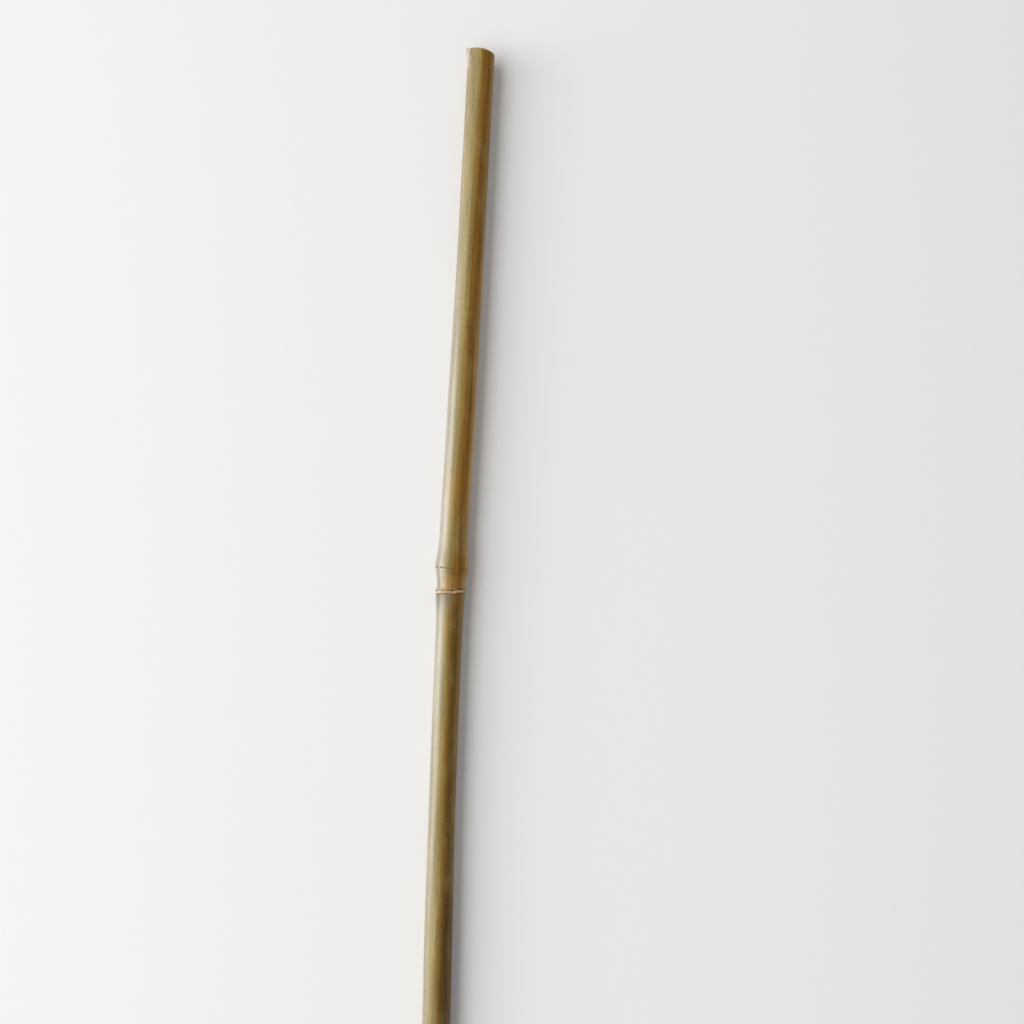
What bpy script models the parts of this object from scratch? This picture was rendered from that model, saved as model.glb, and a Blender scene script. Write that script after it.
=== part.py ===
"""A bamboo cane, cut to length and lying on a surface.

The stem lies along Y with its thin end at +Y. It rests on a flat under its upper node, on the stub of
a branch trimmed off that node, and on the lowest point of its lower node. Lengths are in metres, and
every distance along the stem is measured from the thin end. Angles round the stem start at +X and
turn towards +Z.
"""

import math

import bmesh
import bpy
from mathutils import Vector

MM = 0.001

# The whole stem
LENGTH = 600 * MM
SIDES = 40
RING_TURN = 0.75
BORE_RADIUS = 2.6 * MM
BORE_OVAL = 0.04
BORE_OVAL_TURN = 0.8
DIAPHRAGM = 5 * MM
BORE_FLOOR_ROWS = ((3 * MM, 0.0), (0.8 * MM, 0.7 * MM), (0.0, 1.8 * MM))

# Between the nodes the stem is slim under each node and swells towards the next one down
SLIM_RADIUS = 5.92 * MM
SWELL = 0.53 * MM
SWELL_STARTS = 150 * MM
SWELL_ENDS = 70 * MM
SWELL_FADE = 16 * MM
NODE_SPACING = 252 * MM

# One node: a round ridge, a narrow neck, then the lip where the sheath fell off and a band under it.
# The rows are in millimetres under the ridge, or from the nearer end or node. Each wave round the
# stem is how many times it repeats, where it starts and how high it is.
RIDGE_HEIGHT = 1.13 * MM
RIDGE_WIDTH_ABOVE = 6.1 * MM
RIDGE_WIDTH_BELOW = 5.6 * MM
RIDGE_SHARPNESS = 1.5
RIDGE_TILT = 0.3 * MM
TILT_REACH = 6 * MM
NECK_DEPTH = 0.08 * MM
NECK_DROP = 9 * MM
NECK_WIDTH = 2.2 * MM
LIP_DROP = 11.6 * MM
LIP_HEIGHT = 0.4 * MM
LIP_WIDTH = 0.7 * MM
LIP_TILT = -0.45 * MM
LIP_WAVES = ((5, 1.0, 0.16 * MM), (9, 2.0, 0.1 * MM))
LIP_WAVE_REACH = 2 * MM
BAND_HEIGHT = 0.5 * MM
BAND_LENGTH = 10 * MM
BAND_START = 1.8 * MM
NODE_ROWS = (-34, -24, -17, -12, -9, -6.8, -5, -3.4, -2, -1, 0, 1, 2, 3.2, 4.8, 6.6, 8.4)
LIP_ROWS = (9.8, 10.8, 11.25, 11.6, 12.0, 12.6, 14.5, 17, 21, 27, 35)
TIP_ROWS = (1.2, 3, 5, 8, 12, 18, 28, 45, 70, 100, 130, 160, 182)
MIDDLE_ROWS = (65, 96, 126, 157, 187)
BUTT_ROWS = (60, 40, 22, 10, 4, 1.2)

# What the stem lies on: a small flat under the upper ridge, and one corner of the lower ridge. The
# rings' first corners stand RING_TURN sides past the underside, so each ring has one lowest corner.
FLAT_HALF_WIDTH = 1.9 * MM
RIDGE_RADIUS = SLIM_RADIUS + SWELL + RIDGE_HEIGHT
UPPER_AXIS_HEIGHT = math.sqrt(RIDGE_RADIUS**2 - FLAT_HALF_WIDTH**2)
LOWER_AXIS_HEIGHT = RIDGE_RADIUS * math.cos((1 - RING_TURN) * math.tau / SIDES)

# Where the stem's centre runs: distance, sideways place and height at the ends and the two ridges
UPPER_NODE = 235 * MM
LOWER_NODE = UPPER_NODE + NODE_SPACING
STATIONS = (
    (0.0, 0.75 * MM, 8.2 * MM),
    (UPPER_NODE, -1.98 * MM, UPPER_AXIS_HEIGHT),
    (LOWER_NODE, 1.75 * MM, LOWER_AXIS_HEIGHT),
    (LENGTH, 0.35 * MM, 7.0 * MM),
)
SIDEWAYS_BOWS = (0.36 * MM, -0.9 * MM, 0.15 * MM)
UPWARD_BOWS = (0.3 * MM, 0.5 * MM, 0.1 * MM)
KINK_REACH = 5 * MM

# A branch grew at each node, on the other side from the one before
BRANCHES = ((UPPER_NODE, math.radians(-45)), (LOWER_NODE, math.radians(135)))
STUB_RADIUS = 1.45 * MM
STUB_REACH = 9.05 * MM
STUB_DROP = 4.5 * MM
STUB_LEAN = math.radians(38)
STUB_FLARE = 1.25
STUB_ROOT = 3 * MM
STUB_SIDES = 14
BRANCH_SWELL = 0.45 * MM
BRANCH_SWELL_DROP = 3 * MM
BRANCH_SWELL_LENGTH = 4.5 * MM
BRANCH_HALF_ANGLE = math.radians(27)
GROOVE_DEPTH = 0.32 * MM
GROOVE_RISE = 14 * MM
GROOVE_LENGTH = 75 * MM

# The cut ends
TIP_SLANT = 1.0 * MM
TIP_SLANT_REACH = 12 * MM
RAGGED_WAVES = ((7, 0.6, 0.14 * MM), (11, 2.1, 0.1 * MM))
RAGGED_REACH = 2 * MM
BUTT_SLANT = 0.35 * MM
CUT_CHAMFER = 0.2 * MM
PEEL_ANGLE = math.radians(176)
PEEL_HEIGHT = 0.9 * MM
PEEL_LENGTH = 9 * MM
PEEL_HALF_ANGLE = math.radians(17)

RIND_COLOUR = (0.36, 0.25, 0.10, 1.0)
RIND_ROUGHNESS = 0.42
SHARP_ANGLE = math.radians(40)


def smooth_step(value):
    value = min(max(value, 0.0), 1.0)
    return value * value * (3 - 2 * value)


def bell(offset, width):
    return math.exp(-((offset / width) ** 2))


def angle_between(angle, other):
    """The turn from one angle to another, from -pi to pi."""
    return (angle - other + math.pi) % math.tau - math.pi


def ripple(waves, angle):
    return sum(height * math.sin(repeats * angle + start) for repeats, start, height in waves)


def axis_point(distance):
    """The stem's centre, bowed a little between each pair of stations."""
    last = len(STATIONS) - 2
    leg = next((i for i in range(last) if distance < STATIONS[i + 1][0]), last)
    start, end = STATIONS[leg], STATIONS[leg + 1]
    along = (distance - start[0]) / (end[0] - start[0])
    bow = math.sin(math.pi * min(max(along, 0.0), 1.0))
    sideways = start[1] + (end[1] - start[1]) * along + SIDEWAYS_BOWS[leg] * bow
    height = start[2] + (end[2] - start[2]) * along + UPWARD_BOWS[leg] * bow
    return Vector((sideways, LENGTH / 2 - distance, height))


def axis_heading(distance):
    """The direction of growth, towards the thin end, rounded off where a node kinks the stem."""
    ahead, behind = axis_point(distance - KINK_REACH), axis_point(distance + KINK_REACH)
    return (ahead - behind).normalized()


def node_relief(below):
    """How far a node stands out of the stem, at a distance below its ridge."""
    width = RIDGE_WIDTH_ABOVE if below < 0 else RIDGE_WIDTH_BELOW
    ridge = RIDGE_HEIGHT * math.exp(-((abs(below) / width) ** RIDGE_SHARPNESS))
    neck = NECK_DEPTH * bell(below - NECK_DROP, NECK_WIDTH)
    lip = LIP_HEIGHT * bell(below - LIP_DROP, LIP_WIDTH)
    band = BAND_HEIGHT * bell(below - LIP_DROP, BAND_LENGTH if below > LIP_DROP else BAND_START)
    return ridge - neck + lip + band


def plain_radius(distance):
    """The stem's radius without its nodes, blended where one internode ends and the next starts."""
    radius = SLIM_RADIUS
    for ridge in (UPPER_NODE, LOWER_NODE, LOWER_NODE + NODE_SPACING):
        above = ridge - distance
        swelling = smooth_step((SWELL_STARTS - above) / (SWELL_STARTS - SWELL_ENDS))
        fading = smooth_step(1 + above / SWELL_FADE)
        radius += SWELL * swelling * fading
    return radius


def rind_radius(distance, angle):
    radius = plain_radius(distance)
    for ridge, branch_angle in BRANCHES:
        below = distance - ridge
        facing = bell(angle_between(angle, branch_angle), BRANCH_HALF_ANGLE)
        radius += node_relief(below)
        radius += BRANCH_SWELL * facing * bell(below - BRANCH_SWELL_DROP, BRANCH_SWELL_LENGTH)
        if below < 0:
            groove = smooth_step(-below / GROOVE_RISE) * smooth_step(1 + below / GROOVE_LENGTH)
            radius -= GROOVE_DEPTH * groove * facing
    peel = max(1 - distance / PEEL_LENGTH, 0.0)
    peel *= bell(angle_between(angle, PEEL_ANGLE), PEEL_HALF_ANGLE)
    return radius + PEEL_HEIGHT * peel


def row_shift(distance, angle):
    """How far a ring of the surface is slid along the stem there: cut ends and nodes aren't square."""
    across = math.cos(angle)
    tip_fade = 1 - smooth_step(distance / TIP_SLANT_REACH)
    ragged = ripple(RAGGED_WAVES, angle) * bell(distance, RAGGED_REACH)
    shift = tip_fade * (TIP_SLANT * (1 + across) + ragged)
    butt_fade = 1 - smooth_step((LENGTH - distance) / TIP_SLANT_REACH)
    shift -= butt_fade * BUTT_SLANT * (1 + math.sin(angle))
    for ridge, _ in BRANCHES:
        below = distance - ridge
        shift += RIDGE_TILT * across * bell(below, TILT_REACH)
        shift += LIP_TILT * across * bell(below - LIP_DROP, TILT_REACH)
        shift += ripple(LIP_WAVES, angle) * bell(below - LIP_DROP, LIP_WAVE_REACH)
    return shift


def surface_point(distance, angle, radius):
    """A point of a ring that stands square to the stem, and no lower than what the cane lies on."""
    centre = axis_point(distance)
    heading = axis_heading(distance)
    out = Vector((math.cos(angle), 0.0, math.sin(angle)))
    out.y = -(heading.x * out.x + heading.z * out.z)
    point = centre + out * radius
    point.z = max(point.z, 0.0)
    return point


def rind_point(distance, angle, inset=0.0):
    radius = rind_radius(distance, angle) - inset
    return surface_point(distance + row_shift(distance, angle), angle, radius)


def bore_point(distance, angle, inset=0.0):
    radius = (BORE_RADIUS - inset) * (1 + BORE_OVAL * math.cos(2 * angle + BORE_OVAL_TURN))
    return surface_point(distance + row_shift(distance, angle), angle, radius)


def bore_rows(mouth, floor):
    """A bore from its mouth to the rounded face of a diaphragm, as rows of (maker, distance, inset)."""
    inward = 1 if floor > mouth else -1
    rows = [(mouth, 0.0), (mouth + inward * TIP_SLANT_REACH, 0.0), ((mouth + floor) / 2, 0.0)]
    rows += [(floor - inward * before, inset) for before, inset in BORE_FLOOR_ROWS]
    return [(bore_point, distance, inset) for distance, inset in rows]


def rind_rows():
    """The outside from the butt's cut to the tip's: close rows at the nodes and ends, else far apart."""
    distances = [0.0, CUT_CHAMFER] + [row * MM for row in TIP_ROWS]
    for ridge, _ in BRANCHES:
        distances += [ridge + row * MM for row in NODE_ROWS + LIP_ROWS]
    distances += [UPPER_NODE + row * MM for row in MIDDLE_ROWS]
    distances += [LENGTH - row * MM for row in BUTT_ROWS] + [LENGTH - CUT_CHAMFER, LENGTH]
    chamfered = (0.0, LENGTH)
    return [
        (rind_point, distance, CUT_CHAMFER if distance in chamfered else 0.0)
        for distance in sorted(distances, reverse=True)
    ]


def skin(rows):
    """One closed surface drawn through rings of points, with a face across its first and last ring."""
    mesh = bmesh.new()
    side = mesh.verts.layers.int.new("side")
    ring = bmesh.ops.create_circle(mesh, cap_ends=False, radius=1.0, segments=SIDES)["verts"]
    for number, vertex in enumerate(ring):
        vertex[side] = number
    edges = list(mesh.edges)
    for index, (maker, distance, inset) in enumerate(rows):
        if index:
            grown = bmesh.ops.extrude_edge_only(mesh, edges=edges)["geom"]
            ring = [item for item in grown if isinstance(item, bmesh.types.BMVert)]
            members = set(ring)
            edges = [
                item
                for item in grown
                if isinstance(item, bmesh.types.BMEdge) and members.issuperset(item.verts)
            ]
        for vertex in ring:
            angle = (vertex[side] + RING_TURN) * math.tau / SIDES - math.pi / 2
            vertex.co = maker(distance, angle, inset)
    bmesh.ops.holes_fill(mesh, edges=mesh.edges, sides=SIDES)
    bmesh.ops.recalc_face_normals(mesh, faces=mesh.faces)
    return mesh


def branch_stub(ridge, angle):
    """What is left of a branch: a short leaning peg, cut off along the stem."""
    mesh = bmesh.new()
    distance = ridge + STUB_DROP
    centre = axis_point(distance)
    outward = Vector((math.cos(angle), 0.0, math.sin(angle)))
    lean = outward * math.cos(STUB_LEAN) + axis_heading(distance) * math.sin(STUB_LEAN)
    root = centre + outward * STUB_ROOT
    bmesh.ops.create_cone(
        mesh,
        cap_ends=True,
        segments=STUB_SIDES,
        radius1=STUB_RADIUS * STUB_FLARE,
        radius2=STUB_RADIUS,
        depth=2.0,
    )
    turn = lean.to_track_quat("Z", "Y").to_matrix()
    for vertex in mesh.verts:
        is_end = vertex.co.z > 0
        vertex.co.z = 0.0
        vertex.co = root + turn @ vertex.co
        if is_end:
            short = STUB_REACH - (vertex.co - centre).dot(outward)
            vertex.co += lean * (short / lean.dot(outward))
            vertex.co.z = max(vertex.co.z, 0.0)
    bmesh.ops.recalc_face_normals(mesh, faces=mesh.faces)
    return mesh


def bamboo_material():
    material = bpy.data.materials.new("bamboo")
    material.use_nodes = True
    shader = material.node_tree.nodes["Principled BSDF"]
    shader.inputs["Base Color"].default_value = RIND_COLOUR
    shader.inputs["Roughness"].default_value = RIND_ROUGHNESS
    shader.inputs["Metallic"].default_value = 0.0
    return material


def object_from(mesh, name, collection):
    data = bpy.data.meshes.new(name)
    mesh.to_mesh(data)
    mesh.free()
    made = bpy.data.objects.new(name, data)
    collection.objects.link(made)
    return made


def join(base, collection):
    """Adds everything in the collection to the base as one solid, and removes the collection."""
    union = base.modifiers.new("stubs", "BOOLEAN")
    union.operation = "UNION"
    union.operand_type = "COLLECTION"
    union.collection = collection
    union.solver = "EXACT"
    bpy.context.view_layer.objects.active = base
    bpy.ops.object.modifier_apply(modifier=union.name)
    for extra in list(collection.objects):
        bpy.data.objects.remove(extra, do_unlink=True)
    bpy.data.collections.remove(collection)


def build_cane():
    rows = bore_rows(LENGTH, LOWER_NODE + DIAPHRAGM)[::-1]
    rows += rind_rows()
    rows += bore_rows(0.0, UPPER_NODE - DIAPHRAGM)
    cane = object_from(skin(rows), "cane", bpy.context.scene.collection)
    stubs = bpy.data.collections.new("stubs")
    bpy.context.scene.collection.children.link(stubs)
    for number, (ridge, angle) in enumerate(BRANCHES):
        object_from(branch_stub(ridge, angle), f"stub_{number}", stubs)
    join(cane, stubs)
    cane.data.materials.clear()
    cane.data.materials.append(bamboo_material())
    cane.data.shade_smooth()
    cane.data.set_sharp_from_angle(angle=SHARP_ANGLE)
    return cane


def main():
    for leftover in list(bpy.data.objects):
        bpy.data.objects.remove(leftover, do_unlink=True)
    build_cane()


main()
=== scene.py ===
"""A bamboo cane lying on a pale floor, seen from straight above.

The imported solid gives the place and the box. This script puts a finer stem in its stead, with the torn
lips where the leaf sheaths fell off, the stubs of trimmed branches and the loose fibres of the cut ends.
Lengths are in metres. Distances along the stem start at its thin end, at +Y. Angles round the stem
start at +X and turn towards +Z.
"""

import functools
import math
import random

import bmesh
import bpy
from bpy.props import FloatProperty, FloatVectorProperty, PointerProperty
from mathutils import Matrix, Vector, noise


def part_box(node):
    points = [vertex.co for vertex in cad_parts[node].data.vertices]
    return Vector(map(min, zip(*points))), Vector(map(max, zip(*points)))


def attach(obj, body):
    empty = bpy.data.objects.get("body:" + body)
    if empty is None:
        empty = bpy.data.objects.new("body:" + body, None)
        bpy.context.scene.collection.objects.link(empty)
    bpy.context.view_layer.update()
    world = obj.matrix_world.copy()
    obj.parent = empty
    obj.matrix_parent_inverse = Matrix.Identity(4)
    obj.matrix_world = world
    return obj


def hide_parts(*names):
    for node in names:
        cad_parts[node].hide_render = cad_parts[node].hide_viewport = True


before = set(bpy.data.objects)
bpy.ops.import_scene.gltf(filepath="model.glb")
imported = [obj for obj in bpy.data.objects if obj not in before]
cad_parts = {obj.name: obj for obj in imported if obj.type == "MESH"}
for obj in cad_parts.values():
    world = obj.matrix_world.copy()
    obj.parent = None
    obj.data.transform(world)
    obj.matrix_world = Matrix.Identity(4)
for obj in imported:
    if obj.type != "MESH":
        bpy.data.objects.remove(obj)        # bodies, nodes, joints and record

bl_info = {
    "name": "Bamboo Cane",
    "version": (1, 0, 0),
    "blender": (4, 5, 0),
    "location": "View3D > Sidebar > Cane",
    "description": "Makes a bamboo cane with its nodes, sheath lips, branch stubs and cut ends",
    "category": "Add Mesh",
}

MM = 0.001
BODY = "root"
CAD_NODE = "cane"
LOWEST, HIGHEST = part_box(CAD_NODE)

# How finely the pieces are made
STEM_SIDES = 160
LIP_SIDES = 320
STUB_SIDES = 40
SLIVER_SIDES = 10
FIBRE_SIDES = 6

# The stem's rings: from where, to where and how far apart, from a cut or from a ridge
RING_STEP = 4 * MM
RINGS_AT_TIP = ((0.5 * MM, 4 * MM, 0.5 * MM), (4 * MM, 12 * MM, 1 * MM))
RINGS_AT_NODE = (
    (-20 * MM, -6 * MM, 1 * MM),
    (-6 * MM, 14.4 * MM, 0.4 * MM),
    (14.4 * MM, 25 * MM, 1.1 * MM),
)
RINGS_AT_BUTT = (12 * MM, 1 * MM, 1 * MM)
RINGS_ACROSS_CUT = 12
BORE_RINGS = (0.0, 0.4 * MM, 2 * MM, 6 * MM, 14 * MM, 30 * MM, 60 * MM)
TIP_BORE_RINGS = (120 * MM, 180 * MM)

# Between the nodes
SWELL_STARTS = 150 * MM
SWELL_ENDS = 70 * MM
SWELL_FADE = 16 * MM
GRAIN_RADIUS = 6 * MM
LUMP_HEIGHT = 0.05 * MM
LUMP_SIZE = 9 * MM

# One node, measured down from its ridge
RIDGE_WIDTH_ABOVE = 6.1 * MM
RIDGE_WIDTH_BELOW = 5.6 * MM
RIDGE_SHARPNESS = 1.5
RIDGE_TILT = 0.3 * MM
TILT_REACH = 6 * MM
CREASE_DROP = 1.15 * MM
CREASE_DEPTH = 0.13 * MM
CREASE_WIDTH = 0.45 * MM
BUD_HEIGHT = 0.1 * MM
BUD_WIDTH = 0.8 * MM
BUDS_ROUND = 23
NECK_DEPTH = 0.08 * MM
NECK_DROP = 9 * MM
NECK_WIDTH = 2.2 * MM
LIP_DROP = 11.6 * MM
LIP_UNDERLAY = 0.1 * MM
LIP_WIDTH = 0.7 * MM
LIP_TILT = -0.45 * MM
LIP_WAVES = ((5, 1.0, 0.16 * MM), (9, 2.0, 0.1 * MM))
LIP_WAVE_REACH = 2 * MM
BAND_HEIGHT = 0.5 * MM
BAND_LENGTH = 10 * MM
BAND_START = 1.8 * MM

# Where the stem's centre runs
SIDEWAYS_AT_STATIONS = (0.75 * MM, -1.98 * MM, 1.75 * MM, 0.35 * MM)
TIP_AXIS_HEIGHT = 8.2 * MM
BUTT_AXIS_HEIGHT = 7.0 * MM
FLAT_HALF_WIDTH = 1.9 * MM
SIDEWAYS_BOWS = (0.36 * MM, -0.9 * MM, 0.15 * MM)
UPWARD_BOWS = (0.3 * MM, 0.5 * MM, 0.1 * MM)
KINK_REACH = 5 * MM

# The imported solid's rings have corners, and the lowest is a quarter of a side away from straight down
CAD_SIDES = 40
LOWEST_CORNER = math.cos(math.tau / CAD_SIDES / 4)

# Branches
BRANCH_ANGLES = (math.radians(-45), math.radians(135))
STUB_DROP = 4.5 * MM
STUB_LEAN = math.radians(38)
STUB_FLARE = 1.5
STUB_ROOT = 3 * MM
BRANCH_SWELL = 0.45 * MM
BRANCH_SWELL_DROP = 3 * MM
BRANCH_SWELL_LENGTH = 4.5 * MM
BRANCH_HALF_ANGLE = math.radians(27)
GROOVE_DEPTH = 0.32 * MM
GROOVE_RISE = 14 * MM
GROOVE_LENGTH = 75 * MM
STUB_KNOBS = 0.05
STUB_GRAIN_LENGTH = 6 * MM

# Cut ends
TIP_SLANT = 1.5 * MM
SLANT_BEND = 1.4
SLANT_REACH = 12 * MM
BUTT_SLANT = 0.35 * MM
SAW_ROUGHNESS = 0.07 * MM
SAW_MARKS = (700, 2600)  # how many to a metre, sideways and up
BORE_OVAL = 0.04
BORE_OVAL_TURN = 0.8
BORE_ROUGHNESS = 0.1 * MM
BORE_FURROWS = (900, 60)  # how many to a metre, round the bore and along it
DIAPHRAGM = 5 * MM

# How the edge of a cut is rounded: distance from the cut and inset from the rind
RIM_ROUNDING = ((0.0, 0.24 * MM), (0.05 * MM, 0.11 * MM), (0.15 * MM, 0.03 * MM), (0.3 * MM, 0.0))

# How a bore is rounded into its floor: how far before the floor this starts and how far it comes in
FLOOR_ROUNDING = (3 * MM, 1.8 * MM)

# The sliver that peels off beside the thin end's cut
PEEL_ANGLE = math.radians(152)
PEEL_LENGTH = 11 * MM
PEEL_GAP = 1.3 * MM
PEEL_HALF_WIDTH = 1.7 * MM
PEEL_HALF_THICKNESS = 0.24 * MM
PEEL_TILT = 0.35
PEEL_INSET = 0.12 * MM

# Loose fibres at each cut end, with the least and the most of what is drawn at random
FIBRES_PER_END = 26
FIBRE_REACH = (0.2 * MM, 0.8 * MM)
FIBRE_ROOT = (1.2 * MM, 3.0 * MM)
FIBRE_WIDTH = (0.07 * MM, 0.18 * MM)
FIBRE_THICKNESS = (0.05 * MM, 0.1 * MM)
FIBRE_SPREAD = (-0.3 * MM, 0.15 * MM)
FIBRE_INSET = 0.14 * MM

# The order of the stem's materials
RIND, CUT, LINING = range(3)

# The stem's own map is a square sheet. The rind lies on it in strips side by side, then come the bores
# as narrow strips, and the cut faces and the bores' floors are discs past the strips' ends.
MAP_NAME = "OFBake"
SHEET_SIDE = 176 * MM
SHEET_GAP = 1.2 * MM
STRIP_START = 2.5 * MM
STRIPS = 4
BORE_STRIP_WIDTH = 8 * MM
BORE_SHRINK = 0.62
DISC_ROW = 162 * MM
CUT_DISCS = (7.5 * MM, 22.5 * MM)
FLOOR_DISCS = (32 * MM, 36 * MM)

# Bands round the rind, as seen from above: -1 is the left outline and 1 the right one. The windows light
# the left side and the right side lies in shade. Several of these bands paint that into the colour: a
# painted highlight on the left, painted shade on the right and a painted reflection along the right
# outline
SHADOWED_BAND = (-0.22, 0.42)
SHADOW_SIDE_BAND = (0.0, 0.5)
HIGHLIGHTED_BAND = (-0.33, -0.75)
OUTLINE_BAND = (-0.8, -0.98)
GLOSSY_BAND = (-0.12, -0.58)
REFLECTION_BAND = (0.62, 0.98)
SHADED_BAND = (-0.45, 0.3)
GREENER_MIDDLE = -0.32
GREENER_WIDTH = 0.26

# Stretches along the rind where a look comes in: the sheen sets how strong the painted highlight, the
# painted reflection and the gloss are, and under the upper node and towards the butt the right side is
# painted darker, as painted shade
SHEEN_GROWS = (20 * MM, 200 * MM)
SHEEN_FADES = (250 * MM, 420 * MM)
BUTT_DARKENS = (350 * MM, 430 * MM)
NODE_DARKENS = 25 * MM
WORN_EDGE = (0.55 * MM, 0.1 * MM)
WORN_RAGGED = 0.9 * MM

# The same at a node, measured down from its ridge
NODE_TINT_STARTS = (3 * MM, 6 * MM)
NODE_TINT_ENDS = (LIP_DROP + 0.3 * MM, LIP_DROP - 0.4 * MM)
NODE_RAGGED = 3 * MM
# Painted shade just under a ridge, on the right side
SHADE_DROP = 3.4 * MM
SHADE_WIDTH = 2 * MM
BLOOM_STARTS = (LIP_DROP + 0.2 * MM, LIP_DROP + 0.9 * MM)
BLOOM_ENDS = (24 * MM, 15 * MM)
MATT_ENDS = (18 * MM, 13 * MM)
CREASE_LINE = 0.36 * MM
SEAM_DROP = LIP_DROP - 0.55 * MM
# A painted shadow line just under a lip
LIP_SHADOW_DROP = LIP_DROP + 1.02 * MM
LIP_LINE = 0.22 * MM

# Finishes
RIND_BUMP = 0.05 * MM
CUT_BUMP = 0.06 * MM
FIBRE_BUMP = 0.08 * MM
BUNDLE_SPACING = (0.75 * MM, 0.42 * MM)
BARK_RING = (5.55 * MM, 5.9 * MM)

# Marks on the rind: distance, angle, half length, half width and how dark each one is
MARKS = (
    (43.4 * MM, math.radians(110), 0.35 * MM, 0.28 * MM, 0.7),
    (124.6 * MM, math.radians(86), 0.45 * MM, 0.28 * MM, 0.7),
    (126.9 * MM, math.radians(83), 1.0 * MM, 0.32 * MM, 0.85),
    (135.9 * MM, math.radians(87), 0.5 * MM, 0.25 * MM, 0.7),
    (155.9 * MM, math.radians(90), 0.9 * MM, 0.2 * MM, 0.45),
    (169.9 * MM, math.radians(106), 0.35 * MM, 0.25 * MM, 0.5),
    (180.5 * MM, math.radians(147), 0.3 * MM, 0.25 * MM, 0.6),
    (241.9 * MM, math.radians(68), 0.55 * MM, 0.35 * MM, 0.8),
    (245.6 * MM, math.radians(39), 0.4 * MM, 0.95 * MM, 1.0),
    (299.6 * MM, math.radians(93), 0.4 * MM, 0.28 * MM, 0.7),
    (334.4 * MM, math.radians(94), 0.4 * MM, 0.22 * MM, 0.5),
    (356.0 * MM, math.radians(61), 0.8 * MM, 0.32 * MM, 0.6),
    (408.0 * MM, math.radians(117), 0.35 * MM, 0.28 * MM, 0.6),
    (3.0 * MM, math.radians(154), 1.6 * MM, 0.22 * MM, 0.25),
    (1.9 * MM, math.radians(84), 1.3 * MM, 0.2 * MM, 0.7),
)

# The floor, and the windows: where each stands, what it faces and its size
FLOOR_HALF_SIDE = 12.0
LOW_WINDOW = ((-2.2, -0.12, 1.0), (0.0, -0.12, 1.0), (1.4, 1.8))
HIGH_WINDOW = ((-1.26, 0.0, 2.02), (0.0, 0.0, 0.0), (4.4, 1.3))

# The photograph's frame, in its pixels
FRAME_SIDE = 1024
FOCAL_LENGTH = 1155
PIXELS_PER_METRE = 2190
TIP_PIXEL = (481.1, 47.5)
STEM_LEAN = 0.0464
SENSOR_WIDTH = 36.0


def smooth_step(value):
    value = min(max(value, 0.0), 1.0)
    return value * value * (3 - 2 * value)


def bell(offset, width):
    return math.exp(-((offset / width) ** 2))


def angle_between(angle, other):
    """The turn from one angle to another, from -pi to pi."""
    return (angle - other + math.pi) % math.tau - math.pi


def inside_box(place):
    """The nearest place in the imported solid's box."""
    return Vector(min(max(part, low), high) for part, low, high in zip(place, LOWEST, HIGHEST))


def steps(start, end, step):
    """Evenly spaced numbers from start up to but not including end."""
    count = max(round((end - start) / step), 1)
    return [start + (end - start) * i / count for i in range(count)]


def length_property(label, description, default):
    return FloatProperty(
        name=label, description=description, default=default, min=0.0, precision=5, unit="LENGTH"
    )


def power_property(label, description, default):
    return FloatProperty(
        name=label, description=description, default=default, min=0.0, unit="POWER"
    )


def colour_property(label, description, default):
    return FloatVectorProperty(
        name=label, description=description, default=default, min=0.0, max=1.0, subtype="COLOR"
    )


class CaneShape(bpy.types.PropertyGroup):
    """Sizes of the cane that a user would change."""

    length: length_property("Length", "From cut to cut", 0.600)
    slim_radius: length_property("Slim radius", "Just under a node", 0.00608)
    swell: length_property("Swell", "Added to the radius just above a node", 0.00037)
    upper_node: length_property("Upper node", "From the thin end to the upper ridge", 0.235)
    node_spacing: length_property("Node spacing", "From one ridge to the next", 0.252)
    ridge_height: length_property("Ridge height", "How far a ridge stands out", 0.00113)
    bore_radius: length_property("Bore radius", "Of the hollow at both cut ends", 0.0026)
    stub_radius: length_property("Stub radius", "Of the trimmed branches", 0.00145)
    stub_reach: length_property("Stub reach", "From the stem's centre to a stub's cut", 0.00905)


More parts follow.
